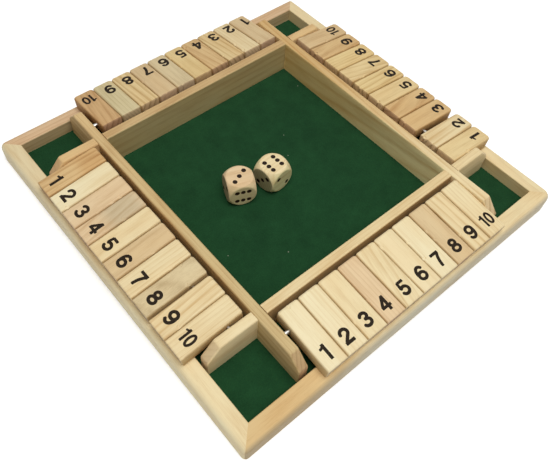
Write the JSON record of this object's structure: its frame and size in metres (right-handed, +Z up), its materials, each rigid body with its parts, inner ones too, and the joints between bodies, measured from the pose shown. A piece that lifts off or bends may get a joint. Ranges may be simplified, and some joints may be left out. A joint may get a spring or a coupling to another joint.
{
  "type": "four-player shut the box game",
  "caption": "Square wooden dice tray lined with green felt, with a row of numbered tiles that flip on a steel rod along each side, and two wooden dice.",
  "frame": {"origin": "centre of the underside", "axes": "+Z up, +X and +Y along the sides of the square; the front row's player sits on the -Y side"},
  "size_m": [0.28, 0.28, 0.0306],
  "materials": {
    "rail_wood": "satin",
    "wall_wood": "satin",
    "tile_wood": "satin",
    "die_wood": "satin",
    "board_wood": "matte",
    "green_felt": "matte",
    "rod_steel": "polished"
  },
  "bodies": {
    "tray": {"rail_right": "rail_wood", "rail_back": "rail_wood", "rail_left": "rail_wood", "rail_front": "rail_wood", "base_board": "board_wood", "felt": "green_felt", "wall_left": "wall_wood", "wall_right": "wall_wood", "wall_front": "wall_wood", "wall_back": "wall_wood", "divider_front_left": "wall_wood", "divider_front_right": "wall_wood", "divider_back_left": "wall_wood", "divider_back_right": "wall_wood", "rod_right": "rod_steel", "rod_back": "rod_steel", "rod_left": "rod_steel", "rod_front": "rod_steel"},
    "tile_right_1": {"tile_right_1": "tile_wood"},
    "tile_right_2": {"tile_right_2": "tile_wood"},
    "tile_right_3": {"tile_right_3": "tile_wood"},
    "tile_right_4": {"tile_right_4": "tile_wood"},
    "tile_right_5": {"tile_right_5": "tile_wood"},
    "tile_right_6": {"tile_right_6": "tile_wood"},
    "tile_right_7": {"tile_right_7": "tile_wood"},
    "tile_right_8": {"tile_right_8": "tile_wood"},
    "tile_right_9": {"tile_right_9": "tile_wood"},
    "tile_right_10": {"tile_right_10": "tile_wood"},
    "tile_back_1": {"tile_back_1": "tile_wood"},
    "tile_back_2": {"tile_back_2": "tile_wood"},
    "tile_back_3": {"tile_back_3": "tile_wood"},
    "tile_back_4": {"tile_back_4": "tile_wood"},
    "tile_back_5": {"tile_back_5": "tile_wood"},
    "tile_back_6": {"tile_back_6": "tile_wood"},
    "tile_back_7": {"tile_back_7": "tile_wood"},
    "tile_back_8": {"tile_back_8": "tile_wood"},
    "tile_back_9": {"tile_back_9": "tile_wood"},
    "tile_back_10": {"tile_back_10": "tile_wood"},
    "tile_left_1": {"tile_left_1": "tile_wood"},
    "tile_left_2": {"tile_left_2": "tile_wood"},
    "tile_left_3": {"tile_left_3": "tile_wood"},
    "tile_left_4": {"tile_left_4": "tile_wood"},
    "tile_left_5": {"tile_left_5": "tile_wood"},
    "tile_left_6": {"tile_left_6": "tile_wood"},
    "tile_left_7": {"tile_left_7": "tile_wood"},
    "tile_left_8": {"tile_left_8": "tile_wood"},
    "tile_left_9": {"tile_left_9": "tile_wood"},
    "tile_left_10": {"tile_left_10": "tile_wood"},
    "tile_front_1": {"tile_front_1": "tile_wood"},
    "tile_front_2": {"tile_front_2": "tile_wood"},
    "tile_front_3": {"tile_front_3": "tile_wood"},
    "tile_front_4": {"tile_front_4": "tile_wood"},
    "tile_front_5": {"tile_front_5": "tile_wood"},
    "tile_front_6": {"tile_front_6": "tile_wood"},
    "tile_front_7": {"tile_front_7": "tile_wood"},
    "tile_front_8": {"tile_front_8": "tile_wood"},
    "tile_front_9": {"tile_front_9": "tile_wood"},
    "tile_front_10": {"tile_front_10": "tile_wood"},
    "die_left": {"die_left": "die_wood"},
    "die_right": {"die_right": "die_wood"}
  },
  "joints": [
    {"name": "flip_right_1", "type": "hinge", "parent": "tray", "child": "tile_right_1", "pos_m": [0.104, -0.07435, 0.0244], "axis": [0, -1, 0], "range_deg": [0, 128.5]},
    {"name": "flip_right_2", "type": "hinge", "parent": "tray", "child": "tile_right_2", "pos_m": [0.104, -0.05825, 0.0244], "axis": [0, -1, 0], "range_deg": [0, 146.5]},
    {"name": "flip_right_3", "type": "hinge", "parent": "tray", "child": "tile_right_3", "pos_m": [0.104, -0.03835, 0.0244], "axis": [0, -1, 0], "range_deg": [0, 146.5]},
    {"name": "flip_right_4", "type": "hinge", "parent": "tray", "child": "tile_right_4", "pos_m": [0.104, -0.02225, 0.0244], "axis": [0, -1, 0], "range_deg": [0, 146.5]},
    {"name": "flip_right_5", "type": "hinge", "parent": "tray", "child": "tile_right_5", "pos_m": [0.104, -0.00615, 0.0244], "axis": [0, -1, 0], "range_deg": [0, 146.5]},
    {"name": "flip_right_6", "type": "hinge", "parent": "tray", "child": "tile_right_6", "pos_m": [0.104, 0.00995, 0.0244], "axis": [0, -1, 0], "range_deg": [0, 146.5]},
    {"name": "flip_right_7", "type": "hinge", "parent": "tray", "child": "tile_right_7", "pos_m": [0.104, 0.02605, 0.0244], "axis": [0, -1, 0], "range_deg": [0, 146.5]},
    {"name": "flip_right_8", "type": "hinge", "parent": "tray", "child": "tile_right_8", "pos_m": [0.104, 0.04215, 0.0244], "axis": [0, -1, 0], "range_deg": [0, 146.5]},
    {"name": "flip_right_9", "type": "hinge", "parent": "tray", "child": "tile_right_9", "pos_m": [0.104, 0.05825, 0.0244], "axis": [0, -1, 0], "range_deg": [0, 146.5]},
    {"name": "flip_right_10", "type": "hinge", "parent": "tray", "child": "tile_right_10", "pos_m": [0.104, 0.07435, 0.0244], "axis": [0, -1, 0], "range_deg": [0, 146.5]},
    {"name": "flip_back_1", "type": "hinge", "parent": "tray", "child": "tile_back_1", "pos_m": [0.07435, 0.104, 0.0244], "axis": [1, 0, 0], "range_deg": [0, 128.5]},
    {"name": "flip_back_2", "type": "hinge", "parent": "tray", "child": "tile_back_2", "pos_m": [0.05825, 0.104, 0.0244], "axis": [1, 0, 0], "range_deg": [0, 146.5]},
    {"name": "flip_back_3", "type": "hinge", "parent": "tray", "child": "tile_back_3", "pos_m": [0.04215, 0.104, 0.0244], "axis": [1, 0, 0], "range_deg": [0, 146.5]},
    {"name": "flip_back_4", "type": "hinge", "parent": "tray", "child": "tile_back_4", "pos_m": [0.02605, 0.104, 0.0244], "axis": [1, 0, 0], "range_deg": [0, 146.5]},
    {"name": "flip_back_5", "type": "hinge", "parent": "tray", "child": "tile_back_5", "pos_m": [0.00995, 0.104, 0.0244], "axis": [1, 0, 0], "range_deg": [0, 146.5]},
    {"name": "flip_back_6", "type": "hinge", "parent": "tray", "child": "tile_back_6", "pos_m": [-0.00615, 0.104, 0.0244], "axis": [1, 0, 0], "range_deg": [0, 146.5]},
    {"name": "flip_back_7", "type": "hinge", "parent": "tray", "child": "tile_back_7", "pos_m": [-0.02225, 0.104, 0.0244], "axis": [1, 0, 0], "range_deg": [0, 146.5]},
    {"name": "flip_back_8", "type": "hinge", "parent": "tray", "child": "tile_back_8", "pos_m": [-0.03835, 0.104, 0.0244], "axis": [1, 0, 0], "range_deg": [0, 146.5]},
    {"name": "flip_back_9", "type": "hinge", "parent": "tray", "child": "tile_back_9", "pos_m": [-0.05445, 0.104, 0.0244], "axis": [1, 0, 0], "range_deg": [0, 146.5]},
    {"name": "flip_back_10", "type": "hinge", "parent": "tray", "child": "tile_back_10", "pos_m": [-0.07055, 0.104, 0.0244], "axis": [1, 0, 0], "range_deg": [0, 146.5]},
    {"name": "flip_left_1", "type": "hinge", "parent": "tray", "child": "tile_left_1", "pos_m": [-0.104, 0.07435, 0.0244], "axis": [0, 1, 0], "range_deg": [0, 128.5]},
    {"name": "flip_left_2", "type": "hinge", "parent": "tray", "child": "tile_left_2", "pos_m": [-0.104, 0.05825, 0.0244], "axis": [0, 1, 0], "range_deg": [0, 146.5]},
    {"name": "flip_left_3", "type": "hinge", "parent": "tray", "child": "tile_left_3", "pos_m": [-0.104, 0.04215, 0.0244], "axis": [0, 1, 0], "range_deg": [0, 146.5]},
    {"name": "flip_left_4", "type": "hinge", "parent": "tray", "child": "tile_left_4", "pos_m": [-0.104, 0.02605, 0.0244], "axis": [0, 1, 0], "range_deg": [0, 146.5]},
    {"name": "flip_left_5", "type": "hinge", "parent": "tray", "child": "tile_left_5", "pos_m": [-0.104, 0.00995, 0.0244], "axis": [0, 1, 0], "range_deg": [0, 146.5]},
    {"name": "flip_left_6", "type": "hinge", "parent": "tray", "child": "tile_left_6", "pos_m": [-0.104, -0.00615, 0.0244], "axis": [0, 1, 0], "range_deg": [0, 146.5]},
    {"name": "flip_left_7", "type": "hinge", "parent": "tray", "child": "tile_left_7", "pos_m": [-0.104, -0.02225, 0.0244], "axis": [0, 1, 0], "range_deg": [0, 146.5]},
    {"name": "flip_left_8", "type": "hinge", "parent": "tray", "child": "tile_left_8", "pos_m": [-0.104, -0.03835, 0.0244], "axis": [0, 1, 0], "range_deg": [0, 146.5]},
    {"name": "flip_left_9", "type": "hinge", "parent": "tray", "child": "tile_left_9", "pos_m": [-0.104, -0.05597, 0.0244], "axis": [0, 1, 0], "range_deg": [0, 146.5]},
    {"name": "flip_left_10", "type": "hinge", "parent": "tray", "child": "tile_left_10", "pos_m": [-0.104, -0.07207, 0.0244], "axis": [0, 1, 0], "range_deg": [0, 146.5]},
    {"name": "flip_front_1", "type": "hinge", "parent": "tray", "child": "tile_front_1", "pos_m": [-0.07055, -0.104, 0.0244], "axis": [-1, 0, 0], "range_deg": [0, 128.5]},
    {"name": "flip_front_2", "type": "hinge", "parent": "tray", "child": "tile_front_2", "pos_m": [-0.05445, -0.104, 0.0244], "axis": [-1, 0, 0], "range_deg": [0, 146.5]},
    {"name": "flip_front_3", "type": "hinge", "parent": "tray", "child": "tile_front_3", "pos_m": [-0.03835, -0.104, 0.0244], "axis": [-1, 0, 0], "range_deg": [0, 146.5]},
    {"name": "flip_front_4", "type": "hinge", "parent": "tray", "child": "tile_front_4", "pos_m": [-0.02225, -0.104, 0.0244], "axis": [-1, 0, 0], "range_deg": [0, 146.5]},
    {"name": "flip_front_5", "type": "hinge", "parent": "tray", "child": "tile_front_5", "pos_m": [-0.00615, -0.104, 0.0244], "axis": [-1, 0, 0], "range_deg": [0, 146.5]},
    {"name": "flip_front_6", "type": "hinge", "parent": "tray", "child": "tile_front_6", "pos_m": [0.00995, -0.104, 0.0244], "axis": [-1, 0, 0], "range_deg": [0, 146.5]},
    {"name": "flip_front_7", "type": "hinge", "parent": "tray", "child": "tile_front_7", "pos_m": [0.02605, -0.104, 0.0244], "axis": [-1, 0, 0], "range_deg": [0, 146.5]},
    {"name": "flip_front_8", "type": "hinge", "parent": "tray", "child": "tile_front_8", "pos_m": [0.04215, -0.104, 0.0244], "axis": [-1, 0, 0], "range_deg": [0, 146.5]},
    {"name": "flip_front_9", "type": "hinge", "parent": "tray", "child": "tile_front_9", "pos_m": [0.05825, -0.104, 0.0244], "axis": [-1, 0, 0], "range_deg": [0, 146.5]},
    {"name": "flip_front_10", "type": "hinge", "parent": "tray", "child": "tile_front_10", "pos_m": [0.07435, -0.104, 0.0244], "axis": [-1, 0, 0], "range_deg": [0, 146.5]},
    {"name": "lift_die_left", "type": "slide", "parent": "tray", "child": "die_left", "axis": [0, 0, 1], "range_m": [0, 0.04]},
    {"name": "lift_die_right", "type": "slide", "parent": "tray", "child": "die_right", "axis": [0, 0, 1], "range_m": [0, 0.04]}
  ]
}
